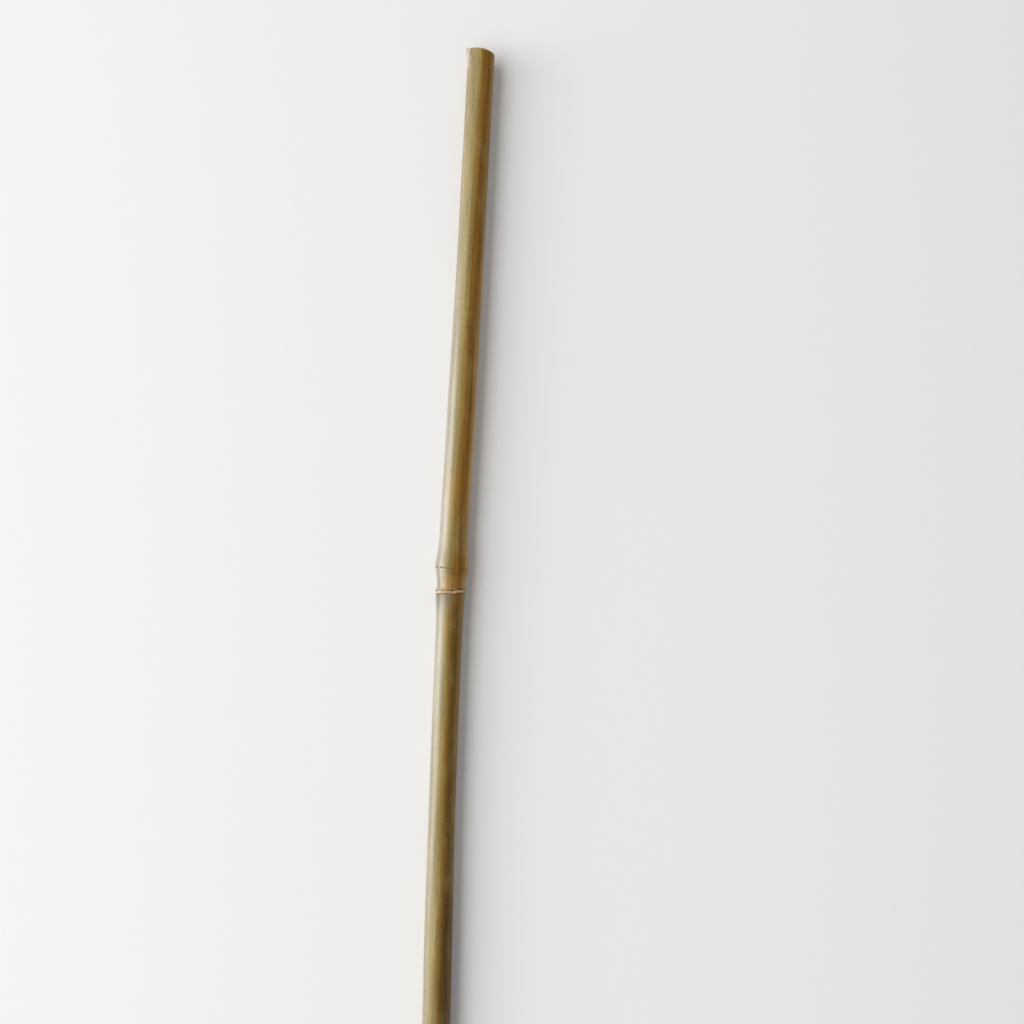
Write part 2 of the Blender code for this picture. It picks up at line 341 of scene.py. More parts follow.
class CaneColours(bpy.types.PropertyGroup):
    """Colours of the cane."""

    straw: colour_property("Straw", "Most of the rind", (0.30, 0.195, 0.053))
    olive: colour_property("Olive", "Greenish streaks of the rind", (0.31, 0.25, 0.09))
    # Tan is the rind's painted shade: its right side, away from the windows, is painted in it; the stubs'
    # bark and the cut's bark ring take it too
    tan: colour_property("Tan", "The browner side of the rind", (0.25, 0.115, 0.014))
    # Painted shadow: the rind's right side just under the upper node is painted in this darker brown
    shadow_umber: colour_property("Umber", "The same side under the upper node", (0.167, 0.087, 0.014))
    # Painted highlight: the rind's left side, where the windows shine, is painted in this pale colour;
    # the sliver also takes it as its darker tone
    pale_and_highlight: colour_property("Pale and highlight", "The paler side of the rind", (0.395, 0.357, 0.272))
    # Painted reflection: a lighter band along the rind's right outline
    rim: colour_property("Rim", "The far edge of the browner side", (0.56, 0.33, 0.085))
    node: colour_property("Node", "Between a ridge and its lip", (0.43, 0.245, 0.075))
    bloom: colour_property("Bloom", "The waxy bloom under a lip", (0.25, 0.215, 0.14))
    # Besides specks, stains and saw lines, this colour paints shade: the right side darker towards the
    # butt and a shadow line under each lip
    stain_and_shade: colour_property("Stain", "Specks and stains", (0.07, 0.035, 0.015))
    sheath: colour_property("Sheath", "The torn lips and fibres", (0.74, 0.59, 0.40))
    worn: colour_property("Worn", "Darker parts of the lips and fibres", (0.42, 0.26, 0.13))
    sliver: colour_property("Sliver", "The sliver that peels off", (0.64, 0.54, 0.42))
    cut: colour_property("Cut", "Freshly cut wood", (0.62, 0.46, 0.25))
    bundles: colour_property("Bundles", "Dots of fibre in the cut wood", (0.24, 0.13, 0.05))


class CaneStage(bpy.types.PropertyGroup):
    """The floor and the light."""

    floor: colour_property("Floor", "The floor's colour", (0.93, 0.93, 0.93))
    ambient: FloatProperty(name="Ambient", description="Even light from all round", default=0.34)
    low_window: power_property("Low window", "The low light at the left", 38.0)
    high_window: power_property("High window", "The broad light above it", 38.0)


class Stem:
    """The stem's surface, as points for a distance along it and an angle round it."""

    def __init__(self, shape):
        self.length = shape.length
        self.slim_radius = shape.slim_radius
        self.swell = shape.swell
        self.ridge_height = shape.ridge_height
        self.bore_radius = shape.bore_radius
        self.stub_radius = shape.stub_radius
        self.stub_reach = shape.stub_reach
        self.node_spacing = shape.node_spacing
        self.ridges = (shape.upper_node, shape.upper_node + shape.node_spacing)
        top_radius = self.slim_radius + self.swell + self.ridge_height
        upper_height = math.sqrt(top_radius**2 - FLAT_HALF_WIDTH**2)
        heights = (TIP_AXIS_HEIGHT, upper_height, top_radius * LOWEST_CORNER, BUTT_AXIS_HEIGHT)
        distances = (0.0, *self.ridges, self.length)
        self.stations = tuple(zip(distances, SIDEWAYS_AT_STATIONS, heights))

    def axis_point(self, distance):
        last = len(self.stations) - 2
        leg = next((i for i in range(last) if distance < self.stations[i + 1][0]), last)
        start, end = self.stations[leg], self.stations[leg + 1]
        along = (distance - start[0]) / (end[0] - start[0])
        bow = math.sin(math.pi * min(max(along, 0.0), 1.0))
        sideways = start[1] + (end[1] - start[1]) * along + SIDEWAYS_BOWS[leg] * bow
        height = start[2] + (end[2] - start[2]) * along + UPWARD_BOWS[leg] * bow
        return Vector((sideways, self.length / 2 - distance, height))

    def heading(self, distance):
        ahead = self.axis_point(distance - KINK_REACH)
        return (ahead - self.axis_point(distance + KINK_REACH)).normalized()

    def node_relief(self, below, angle):
        width = RIDGE_WIDTH_ABOVE if below < 0 else RIDGE_WIDTH_BELOW
        relief = self.ridge_height * math.exp(-((abs(below) / width) ** RIDGE_SHARPNESS))
        relief -= CREASE_DEPTH * bell(below - CREASE_DROP, CREASE_WIDTH)
        bud = max(math.sin(BUDS_ROUND * angle + 2 * math.sin(3 * angle)), 0.0)
        relief += BUD_HEIGHT * bud * bell(below - CREASE_DROP, BUD_WIDTH)
        relief -= NECK_DEPTH * bell(below - NECK_DROP, NECK_WIDTH)
        relief += LIP_UNDERLAY * bell(below - LIP_DROP, LIP_WIDTH)
        return relief + BAND_HEIGHT * bell(
            below - LIP_DROP, BAND_LENGTH if below > LIP_DROP else BAND_START
        )

    def radius(self, distance, angle):
        radius = self.slim_radius
        for ridge in (*self.ridges, self.ridges[-1] + self.node_spacing):
            above = ridge - distance
            swelling = smooth_step((SWELL_STARTS - above) / (SWELL_STARTS - SWELL_ENDS))
            radius += self.swell * swelling * smooth_step(1 + above / SWELL_FADE)
        for ridge, branch_angle in zip(self.ridges, BRANCH_ANGLES):
            below = distance - ridge
            facing = bell(angle_between(angle, branch_angle), BRANCH_HALF_ANGLE)
            radius += self.node_relief(below, angle)
            radius += BRANCH_SWELL * facing * bell(below - BRANCH_SWELL_DROP, BRANCH_SWELL_LENGTH)
            if below < 0:
                groove = smooth_step(-below / GROOVE_RISE) * smooth_step(1 + below / GROOVE_LENGTH)
                radius -= GROOVE_DEPTH * groove * facing
        return radius + LUMP_HEIGHT * noise.noise(self.grain(distance, angle) / LUMP_SIZE)

    def shift(self, distance, angle):
        """How far a ring is slid along the stem: cut ends and nodes aren't square to it."""
        across = math.cos(angle)
        slant = TIP_SLANT * (0.5 + 0.5 * across) ** SLANT_BEND
        shift = (1 - smooth_step(distance / SLANT_REACH)) * slant
        butt_fade = 1 - smooth_step((self.length - distance) / SLANT_REACH)
        shift -= butt_fade * BUTT_SLANT * (1 + math.sin(angle))
        wave = sum(height * math.sin(repeats * angle + start) for repeats, start, height in LIP_WAVES)
        for ridge in self.ridges:
            below = distance - ridge
            shift += RIDGE_TILT * across * bell(below, TILT_REACH)
            shift += LIP_TILT * across * bell(below - LIP_DROP, TILT_REACH)
            shift += wave * bell(below - LIP_DROP, LIP_WAVE_REACH)
        return shift

    def grain(self, distance, angle, radius=GRAIN_RADIUS):
        """The same place on a straight round stem, which the patterns follow."""
        return Vector((radius * math.cos(angle), distance, radius * math.sin(angle)))

    def point(self, distance, angle, radius):
        centre = self.axis_point(distance)
        heading = self.heading(distance)
        out = Vector((math.cos(angle), 0.0, math.sin(angle)))
        out.y = -(heading.x * out.x + heading.z * out.z)
        return inside_box(centre + out * radius)

    def rind(self, distance, inset, angle):
        place = self.point(
            distance + self.shift(distance, angle), angle, self.radius(distance, angle) - inset
        )
        return place, self.grain(distance, angle)

    def bore(self, distance, inset, angle):
        radius = (self.bore_radius - inset) * (1 + BORE_OVAL * math.cos(2 * angle + BORE_OVAL_TURN))
        grain = self.grain(distance, angle, radius)
        round_it, along = BORE_FURROWS
        furrow = Vector((grain.x * round_it, grain.y * along, grain.z * round_it))
        radius += BORE_ROUGHNESS * noise.noise(furrow)
        return self.point(distance + self.shift(distance, angle), angle, radius), grain

    def sawn(self, distance, share, angle):
        """A cut end, from the bore's edge (share 0) to the rim (share 1), with marks of the saw."""
        inner = self.bore_radius * (1 + BORE_OVAL * math.cos(2 * angle + BORE_OVAL_TURN))
        radius = inner + (self.radius(distance, angle) - RIM_ROUNDING[0][1] - inner) * share
        grain = self.grain(distance, angle, radius)
        rough = 0.5 + noise.noise(Vector((grain.x * SAW_MARKS[0], 3.1, grain.z * SAW_MARKS[1])))
        deep = SAW_ROUGHNESS * rough * (1 - abs(2 * share - 1) ** 4)
        inward = deep if distance < self.length / 2 else -deep
        return self.point(distance + self.shift(distance, angle) + inward, angle, radius), grain


def tube(rows, sides, closed=False, capped=True):
    """A mesh drawn through rings. Each row is a function of the angle and the slot of its faces."""
    mesh = bmesh.new()
    side = mesh.verts.layers.int.new("side")
    grain = mesh.verts.layers.float_vector.new("grain")
    ring = bmesh.ops.create_circle(mesh, cap_ends=False, radius=1.0, segments=sides)["verts"]
    for number, vertex in enumerate(ring):
        vertex[side] = number
    first_edges = edges = list(mesh.edges)
    for index, (place, slot) in enumerate(rows):
        if index:
            grown = bmesh.ops.extrude_edge_only(mesh, edges=edges)["geom"]
            ring = [item for item in grown if isinstance(item, bmesh.types.BMVert)]
            members = set(ring)
            for item in grown:
                if isinstance(item, bmesh.types.BMFace):
                    item.material_index = slot
            edges = [
                item
                for item in grown
                if isinstance(item, bmesh.types.BMEdge) and members.issuperset(item.verts)
            ]
        for vertex in ring:
            angle = (vertex[side] + 0.5) * math.tau / sides - math.pi / 2
            vertex.co, vertex[grain] = place(angle)
    if closed:
        bmesh.ops.bridge_loops(mesh, edges=first_edges + edges)
    elif capped:
        filled = bmesh.ops.holes_fill(mesh, edges=mesh.edges, sides=sides)["faces"]
        for face in filled:
            face.material_index = rows[-1][1]
    bmesh.ops.recalc_face_normals(mesh, faces=mesh.faces)
    return mesh


def lay_out(mesh, length):
    """Gives the stem its own map, so that a pattern baked through it is equally sharp both ways."""
    side = mesh.verts.layers.int["side"]
    grain = mesh.verts.layers.float_vector["grain"]
    layer = mesh.loops.layers.uv.new(MAP_NAME)
    pitch = math.tau * GRAIN_RADIUS + SHEET_GAP
    strip_length = length / STRIPS
    for face in mesh.faces:
        distance = sum(vertex[grain].y for vertex in face.verts) / len(face.verts)
        end = int(distance > length / 2)
        strip = min(int(distance / strip_length), STRIPS - 1)
        wraps = max(vertex[side] for vertex in face.verts) == STEM_SIDES - 1
        for loop in face.loops:
            place = loop.vert[grain]
            turn = loop.vert[side] or (STEM_SIDES if wraps else 0)
            around = turn / STEM_SIDES
            if len(face.verts) > 4:
                where = Vector((FLOOR_DISCS[end] + place.x, DISC_ROW + place.z))
            elif face.material_index == CUT:
                where = Vector((CUT_DISCS[end] + place.x, DISC_ROW + place.z))
            elif face.material_index == RIND:
                where = Vector((around * math.tau * GRAIN_RADIUS, place.y - strip * strip_length))
                where += Vector((strip * pitch, STRIP_START))
            else:
                depth = length - place.y if end else place.y
                where = Vector((around * BORE_STRIP_WIDTH, depth * BORE_SHRINK + STRIP_START))
                where.x += STRIPS * pitch + end * (BORE_STRIP_WIDTH + SHEET_GAP)
            loop[layer].uv = where / SHEET_SIDE


def piece(name, mesh, materials, smooth_angle=50):
    """Turns a mesh into a finished piece that rides on the cane's body."""
    data = bpy.data.meshes.new(name)
    mesh.to_mesh(data)
    mesh.free()
    data.attributes.remove(data.attributes["side"])
    for material in materials:
        data.materials.append(material)
    data.shade_smooth()
    data.set_sharp_from_angle(angle=math.radians(smooth_angle))
    made = bpy.data.objects.new(name, data)
    bpy.context.scene.collection.objects.link(made)
    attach(made, BODY)
    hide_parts(CAD_NODE)
    return made


class Number:
    """A value in a shader. Arithmetic on it adds Math nodes."""

    def __init__(self, shader, output):
        self.shader = shader
        self.output = output

    def math(self, operation, first, second=0.0):
        return self.shader.add("ShaderNodeMath", {"operation": operation}, {0: first, 1: second})

    def __add__(self, other):
        return self.math("ADD", self, other)

    def __sub__(self, other):
        return self.math("SUBTRACT", self, other)

    def __rsub__(self, other):
        return self.math("SUBTRACT", other, self)

    def __mul__(self, other):
        return self.math("MULTIPLY", self, other)

    def __truediv__(self, other):
        return self.math("DIVIDE", self, other)

    def __rtruediv__(self, other):
        return self.math("DIVIDE", other, self)

    __radd__ = __add__
    __rmul__ = __mul__

    def smallest(self, other):
        return self.math("MINIMUM", self, other)

    def exponent(self):
        return self.math("EXPONENT", self)

    def angle_of(self, across):
        return self.math("ARCTAN2", self, across)

    def root(self):
        return self.math("SQRT", self)


class Shader:
    """A material built of nodes, with short ways to the ones that the cane's finishes use."""

    def __init__(self, name):
        self.material = bpy.data.materials.new(name)
        self.material.use_nodes = True
        self.tree = self.material.node_tree
        self.surface = self.tree.nodes["Principled BSDF"]

    def feed(self, socket, value):
        if isinstance(value, Number):
            self.tree.links.new(value.output, socket)
        elif socket.type == "RGBA":
            socket.default_value = (*value[:3], 1.0)
        else:
            socket.default_value = value

    def add(self, kind, settings=None, inputs=None, output=0):
        node = self.tree.nodes.new(kind)
        for key, value in (settings or {}).items():
            setattr(node, key, value)
        for key, value in (inputs or {}).items():
            self.feed(node.inputs[key], value)
        return Number(self, node.outputs[output])

    def finish(self, **sockets):
        """Feeds the surface's sockets, named with underscores for spaces."""
        for key, value in sockets.items():
            self.feed(self.surface.inputs[key.replace("_", " ")], value)
        return self.material

    def grain(self):
        return self.add("ShaderNodeAttribute", {"attribute_name": "grain"}, output=1)

    def parts(self, vector):
        """The x, y and z of a vector."""
        node = self.add("ShaderNodeSeparateXYZ", inputs={0: vector}).output.node
        return [Number(self, output) for output in node.outputs]

    def vector(self, x, y, z=0.0):
        return self.add("ShaderNodeCombineXYZ", inputs={0: x, 1: y, 2: z})

    def stretched(self, vector, scale):
        return self.add("ShaderNodeVectorMath", {"operation": "MULTIPLY"}, {0: vector, 1: scale})

    def cloud(self, vector, size, stretch=(1, 1, 1), detail=2.0, seed=0.0):
        """Noise about as coarse as a size, with each axis of the grain stretched by a factor."""
        scale = tuple(1 / (size * factor) for factor in stretch)
        moved = self.add(
            "ShaderNodeVectorMath",
            {"operation": "MULTIPLY_ADD"},
            {0: vector, 1: scale, 2: (seed, 1.7 * seed, 0.6 * seed)},
        )
        return self.add("ShaderNodeTexNoise", inputs={"Vector": moved, "Scale": 1.0, "Detail": detail})

    def ramp(self, value, low, high):
        """0 where the value is low, 1 where it is high, and smooth between."""
        return self.add(
            "ShaderNodeMapRange", {"interpolation_type": "SMOOTHSTEP"}, {0: value, 1: low, 2: high}
        )

    def bell(self, value, width):
        scaled = value / width
        return (scaled * scaled * -1).exponent()

    def mix(self, first, second, factor):
        settings = {"data_type": "RGBA", "clamp_factor": True}
        return self.add("ShaderNodeMix", settings, {0: factor, 6: first, 7: second}, output=2)

    def bump(self, height, distance, strength=1.0):
        inputs = {"Height": height, "Distance": distance, "Strength": strength}
        return self.add("ShaderNodeBump", inputs=inputs)


def rind_marks(shader, distance, angle):
    """Stains placed one by one."""
    place = shader.vector(distance, angle * GRAIN_RADIUS)
    found = 0.0
    for at, turn, half_length, half_width, darkness in MARKS:
        offset = shader.add(
            "ShaderNodeVectorMath",
            {"operation": "SUBTRACT"},
            {0: place, 1: (at, turn * GRAIN_RADIUS, 0.0)},
        )
        scaled = shader.stretched(offset, (1 / half_length, 1 / half_width, 0.0))
        reach = shader.add("ShaderNodeVectorMath", {"operation": "LENGTH"}, {0: scaled}, output=1)
        found = shader.ramp(reach, 1.25, 0.35) * darkness + found
    return found


def rind_specks(shader, grain, size, share, seed):
    """Specks scattered at random. The share is how many cells hold one."""
    scale = (1 / size, 0.45 / size, 1 / size)
    moved = shader.add(
        "ShaderNodeVectorMath", {"operation": "MULTIPLY_ADD"}, {0: grain, 1: scale, 2: (seed,) * 3}
    )
    cells = shader.add("ShaderNodeTexVoronoi", inputs={"Vector": moved, "Scale": 1.0})
    tint = Number(shader, cells.output.node.outputs["Color"])
    pick = shader.parts(tint)[0]
    return shader.ramp(cells, 0.13, 0.05) * shader.ramp(pick, share + 0.02, share - 0.02)


class Rind:
    """The rind's patterns, which its colour, gloss and relief share."""

    def __init__(self, stem):
        self.shader = shader = Shader("cane_rind")
        self.ridges = stem.ridges
        self.grain = grain = shader.grain()
        x, self.distance, z = shader.parts(grain)
        self.angle = z.angle_of(x)
        self.across = x / GRAIN_RADIUS
        self.from_cut = self.distance.smallest(stem.length - self.distance)

        self.fine = shader.cloud(grain, 0.28 * MM, (1, 60, 1), detail=3.0)
        self.streaks = shader.cloud(grain, 1.3 * MM, (1, 30, 1), seed=3.0)
        self.broad = shader.cloud(grain, 3.5 * MM, (1, 12, 1), seed=5.0)
        self.patches = shader.cloud(grain, 10 * MM, (1, 2, 1), seed=9.0)
        self.dust = shader.cloud(grain, 0.6 * MM, (1, 2.2, 1), detail=3.0, seed=4.0)
        self.broken = shader.cloud(grain, 0.9 * MM, (1, 3, 1), seed=6.0)

        self.wobble = (self.broad - 0.5) * 0.5 + (self.streaks - 0.5) * 0.35
        self.side = self.across + self.wobble
        # Painted shade: the right side, away from the windows, is painted browner and darker
        self.shadowed = shader.ramp(self.side, *SHADOWED_BAND)
        # The sheen: how strong the painted highlight, the painted reflection and the gloss are along the
        # stem
        sheen = shader.ramp(self.distance, *SHEEN_GROWS)
        self.sheen = sheen - shader.ramp(self.distance, *SHEEN_FADES) * 0.6
        # Painted highlight: the left side, where the windows shine, is painted paler
        highlighted = shader.ramp(self.across + self.wobble * 0.6, *HIGHLIGHTED_BAND)
        highlighted = highlighted - shader.ramp(self.across, *OUTLINE_BAND) * 0.1
        self.highlighted = highlighted * (0.4 + self.sheen * 0.6)
        glossy = shader.ramp(self.across + self.wobble * 0.4, *GLOSSY_BAND)
        self.glossy = glossy * (0.4 + self.sheen * 0.6)


def rind_bands(rind, colours):
    """The colours that run along the stem, with light and shade painted in: a painted highlight on the
    left side, painted shade on the right side, darker under the upper node and towards the butt, and a
    painted reflection along the right outline.
    """
    shader = rind.shader
    # Painted shadow on the right side under the upper node
    under_node = shader.ramp(rind.distance, rind.ridges[0], rind.ridges[0] + NODE_DARKENS)
    brown = shader.mix(colours.tan, colours.shadow_umber, under_node * shader.ramp(rind.side, *SHADOW_SIDE_BAND))
    # Painted shade: the right side darker still towards the butt
    brown = shader.mix(brown, colours.stain_and_shade, shader.ramp(rind.distance, *BUTT_DARKENS) * 0.4)
    colour = shader.mix(colours.straw, brown, rind.shadowed)
    # Painted reflection: a lighter band along the right outline
    rim = shader.ramp(rind.across + rind.wobble * 0.3, *REFLECTION_BAND)
    rim = rim * (0.24 + rind.sheen * 0.6 - under_node * 0.42)
    colour = shader.mix(colour, colours.rim, rim)
    # Painted highlight on the left side
    colour = shader.mix(colour, colours.pale_and_highlight, rind.highlighted * 0.95)
    greener = shader.bell(rind.side - GREENER_MIDDLE, GREENER_WIDTH) * 0.75
    colour = shader.mix(colour, colours.olive, greener)
    return shader.mix(colour, colours.olive, shader.ramp(rind.patches, 0.5, 0.75) * 0.4)


def rind_nodes(rind, colours, colour):
    """Colours the nodes, with painted shade just under each ridge on the right side. Returns the colour,
    the bloom, where it is matt, and the dark lines, among them a painted shadow line under each lip.
    """
    shader = rind.shader
    bloom = 0.0
    matt = 0.0
    lines = 0.0
    for ridge in rind.ridges:
        below = rind.distance - ridge
        ragged = below + (rind.broad - 0.5) * NODE_RAGGED
        between = shader.ramp(ragged, *NODE_TINT_STARTS) * shader.ramp(below, *NODE_TINT_ENDS)
        tinted = between * (0.85 - rind.shadowed * 0.6 - rind.highlighted * 0.6)
        colour = shader.mix(colour, colours.node, tinted)
        # Painted shade just under the ridge, on the right side
        shaded = shader.bell(below - SHADE_DROP, SHADE_WIDTH) * shader.ramp(rind.side, *SHADED_BAND)
        colour = shader.mix(colour, colours.shadow_umber, shaded * 0.4)
        under = shader.ramp(below, *BLOOM_STARTS) * shader.ramp(ragged, *BLOOM_ENDS)
        bloom = under * (0.6 + rind.patches * 0.6) + bloom
        matt = under * shader.ramp(ragged, *MATT_ENDS) + matt
        crease = shader.bell(below - CREASE_DROP, CREASE_LINE)
        crease = crease * (0.25 + shader.ramp(rind.broken, 0.5, 0.62))
        seam = shader.bell(below - SEAM_DROP, LIP_LINE) * (0.3 + shader.ramp(rind.broken, 0.45, 0.6))
        # A painted shadow line just under the lip
        edge = shader.bell(below - LIP_SHADOW_DROP, LIP_LINE) * 0.7
        lines = crease * 0.8 + seam * 0.75 + edge + lines
    colour = shader.mix(colour, colours.bloom, bloom * (1.0 - rind.shadowed * 0.85))
    return colour, bloom, matt, lines


def rind_material(colours, stem):
    rind = Rind(stem)
    shader = rind.shader
    colour, bloom, matt, lines = rind_nodes(rind, colours, rind_bands(rind, colours))
    light = (rind.fine - 0.5) * 0.45 + (rind.streaks - 0.5) * 0.7 + (rind.dust - 0.5) * 0.42
    shade = shader.mix((0.0, 0.0, 0.0), (1.0, 1.0, 1.0), light + 0.5)
    overlay = {"data_type": "RGBA", "blend_type": "OVERLAY"}
    colour = shader.add("ShaderNodeMix", overlay, {0: 0.8, 6: colour, 7: shade}, output=2)
    worn = shader.ramp(rind.from_cut + (rind.broken - 0.5) * WORN_RAGGED, *WORN_EDGE)
    colour = shader.mix(colour, colours.cut, worn * 0.75)
    specks = rind_specks(shader, rind.grain, 2.6 * MM, 0.3, 2.0) * 0.55
    specks = rind_specks(shader, rind.grain, 1.3 * MM, 0.2, 7.0) * (0.3 + bloom * 0.4) + specks
    # Specks, stains and dark lines, among them the painted shadow line under each lip
    stains_and_shade = specks + rind_marks(shader, rind.distance, rind.angle) + lines
    return shader.finish(
        Base_Color=shader.mix(colour, colours.stain_and_shade, stains_and_shade),
        Roughness=0.42 + (rind.streaks - 0.5) * 0.16 + bloom * 0.15 + (rind.dust - 0.5) * 0.2,
        Coat_Weight=(1.0 - bloom * 0.1 - matt * 0.4 - stains_and_shade) * (0.02 + rind.glossy * 0.98),
        Coat_Roughness=0.38,
        Coat_IOR=1.8,
        IOR=1.35,
        Specular_IOR_Level=0.3,
        Normal=shader.bump(
            rind.fine * 0.45 + rind.streaks * 0.3 + rind.dust * 0.4 - stains_and_shade * 0.5, RIND_BUMP, 0.6
        ),
    )


def cut_material(colours, stem):
    """Sawn wood: dots of fibre, closer together towards the rind, and fine lines of the saw."""
    shader = Shader("cane_cut")
    grain = shader.grain()
    x, _, z = shader.parts(grain)
    radius = (x * x + z * z).root()
    outward = shader.ramp(radius, stem.bore_radius, stem.slim_radius)
    flat = shader.vector(x, z)
    coarse, close = (
        shader.add("ShaderNodeTexVoronoi", inputs={"Vector": flat, "Scale": 1 / spacing})
        for spacing in BUNDLE_SPACING
    )
    dots = shader.ramp(coarse, 0.34, 0.2) * (1.0 - outward) + shader.ramp(close, 0.42, 0.24) * outward
    mottle = shader.cloud(grain, 0.5 * MM, seed=2.0)
    saw = shader.cloud(flat, 0.16 * MM, (14, 1, 1), seed=8.0)
    colour = shader.mix(colours.cut, colours.straw, outward * 0.55 + (mottle - 0.5) * 0.7)
    colour = shader.mix(colour, colours.bundles, dots * 0.75)
    colour = shader.mix(colour, colours.tan, shader.ramp(radius, *BARK_RING) * 0.8)
    colour = shader.mix(colour, colours.stain_and_shade, shader.ramp(saw, 0.6, 0.85) * 0.3)
    return shader.finish(
        Base_Color=colour,
        Roughness=0.82 - dots * 0.15,
        Specular_IOR_Level=0.3,
        Normal=shader.bump(saw * 0.6 + dots * 0.4, CUT_BUMP, 0.8),
    )


def woody_material(name, light, dark, width, roughness=0.7):
    """Dry streaked fibre, for the lips, the stubs' bark, the loose fibres and the bores."""
    shader = Shader(name)
    grain = shader.grain()
    fibres = shader.cloud(grain, width, (1, 14, 1), detail=3.0, seed=1.0)
    blotches = shader.cloud(grain, width * 7, (1, 2, 1), seed=5.0)
    worn = shader.ramp(fibres * 0.6 + blotches * 0.5, 0.42, 0.72)
    return shader.finish(
        Base_Color=shader.mix(dark, light, worn),
        Roughness=roughness + (fibres - 0.5) * 0.2,
        Specular_IOR_Level=0.3,
        Normal=shader.bump(fibres, FIBRE_BUMP, 0.7),
    )


def floor_material(colour):
    shader = Shader("plain_floor")
    place = shader.add("ShaderNodeTexCoord", output=3)
    mottle = shader.cloud(place, 0.004, seed=1.0)
    shade = shader.mix(tuple(0.985 * part for part in colour), colour, mottle)
    return shader.finish(Base_Color=shade, Roughness=0.85, Specular_IOR_Level=0.2)


def stem_rows(stem):
    """Rings from the butt's bore over the rind to the tip's bore."""
    length = stem.length
    distances = []
    for first, last, step in RINGS_AT_TIP:
        distances += steps(first, last, step)
    start = RINGS_AT_TIP[-1][1]
    for ridge in stem.ridges:
        distances += steps(start, ridge + RINGS_AT_NODE[0][0], RING_STEP)
        for first, last, step in RINGS_AT_NODE:
            distances += steps(ridge + first, ridge + last, step)
        start = ridge + RINGS_AT_NODE[-1][1]
    first, last, step = RINGS_AT_BUTT
    distances += steps(start, length - first, RING_STEP) + steps(length - first, length - last, step)
    rows = list(RIM_ROUNDING) + [(distance, 0.0) for distance in distances]
    rows += [(length - gap, inset) for gap, inset in reversed(RIM_ROUNDING)]
    shares = [step / RINGS_ACROSS_CUT for step in range(1, RINGS_ACROSS_CUT)]
    floor_gap, floor_inset = FLOOR_ROUNDING
    tip_floor = stem.ridges[0] - DIAPHRAGM
    butt_floor = stem.ridges[1] + DIAPHRAGM
    tip_bore = (*BORE_RINGS, *TIP_BORE_RINGS, tip_floor - floor_gap)
    butt_bore = (*(length - gap for gap in BORE_RINGS), butt_floor + floor_gap)
    bind = functools.partial
    made = [(bind(stem.bore, butt_floor, floor_inset), LINING)]
    made += [(bind(stem.bore, distance, 0.0), LINING) for distance in reversed(butt_bore)]
    made += [(bind(stem.sawn, length, share), CUT) for share in shares]
    outside = [bind(stem.rind, distance, inset) for distance, inset in reversed(rows)]
    made += [(outside[0], CUT)] + [(place, RIND) for place in outside[1:]]
    made += [(bind(stem.sawn, 0.0, share), CUT) for share in reversed(shares)]
    made += [(bind(stem.bore, 0.0, 0.0), CUT)]
    made += [(bind(stem.bore, distance, 0.0), LINING) for distance in tip_bore[1:]]
    made += [(bind(stem.bore, tip_floor, floor_inset), LINING)]
    return made


# A lip's section, from its lower edge round its back: how far below the lip's line each ring is, how high
# over the rind, and how much of the tearing reaches it
LIP_PROFILE = (
    (0.8 * MM, -0.1 * MM, 0.0),
    (0.72 * MM, 0.14 * MM, 0.15),
    (0.4 * MM, 0.24 * MM, 0.5),
    (0.0, 0.27 * MM, 0.85),
    (-0.3 * MM, 0.2 * MM, 1.0),
    (-0.32 * MM, 0.05 * MM, 1.0),
    (0.1 * MM, -0.12 * MM, 0.5),
)
LIP_TEARS = ((5.0, 0.34), (13.0, 0.3), (34.0, 0.2))
LIP_TEAR_HEIGHT = 0.55 * MM
LIP_CURLS = 8.0


def lip_rows(stem, ridge, seed):
    """The torn base of a leaf sheath: a thin collar with a ragged upper edge."""

    def place(drop, lift, loose, angle):
        turned = Vector((math.cos(angle), math.sin(angle), seed))
        torn = sum(noise.noise(turned * often) * share for often, share in LIP_TEARS)
        curl = 0.5 + noise.noise(turned * LIP_CURLS + Vector((0, 0, 4)))
        distance = ridge + LIP_DROP + drop - loose * torn * LIP_TEAR_HEIGHT
        radius = stem.radius(distance, angle) + lift * (0.62 + 0.5 * curl)
        where = stem.point(distance + stem.shift(distance, angle), angle, radius)
        return where, stem.grain(drop, angle, radius)

    return [(functools.partial(place, *row), 0) for row in LIP_PROFILE]


# A stub's section, from its foot in the stem to the middle of its cut: shares of its height and radius
STUB_SIDE = ((0.0, STUB_FLARE), (0.45, 1.32), (0.66, 1.12), (0.8, 1.03), (0.9, 1.05), (0.97, 1.02))
STUB_FACE = ((1.0, 0.93), (1.0, 0.75), (0.995, 0.5), (0.985, 0.3), (0.95, 0.22), (0.9, 0.12))


def stub_rows(stem, ridge, branch_angle):
    """A trimmed branch: a flared foot, a short neck, a cut along the stem and a soft pith."""
    distance = ridge + STUB_DROP
    centre = stem.axis_point(distance)
    outward = Vector((math.cos(branch_angle), 0.0, math.sin(branch_angle)))
    lean = outward * math.cos(STUB_LEAN) + stem.heading(distance) * math.sin(STUB_LEAN)
    turn = lean.to_track_quat("Z", "Y").to_matrix()
    root = centre + outward * STUB_ROOT

    def place(along, share, angle):
        around = Vector((math.cos(angle), math.sin(angle), 0.0))
        knobbly = 1 + STUB_KNOBS * noise.noise(around * 2.0 + Vector((0, 0, along * 5)))
        offset = around * stem.stub_radius * share * knobbly
        foot = root + turn @ offset
        reach = (stem.stub_reach - (foot - centre).dot(outward)) / lean.dot(outward)
        where = inside_box(foot + lean * (reach * along))
        return where, Vector((offset.x, along * STUB_GRAIN_LENGTH, offset.y))

    rows = [(functools.partial(place, *row), 0) for row in STUB_SIDE]
    return rows + [(functools.partial(place, *row), 1) for row in STUB_FACE]


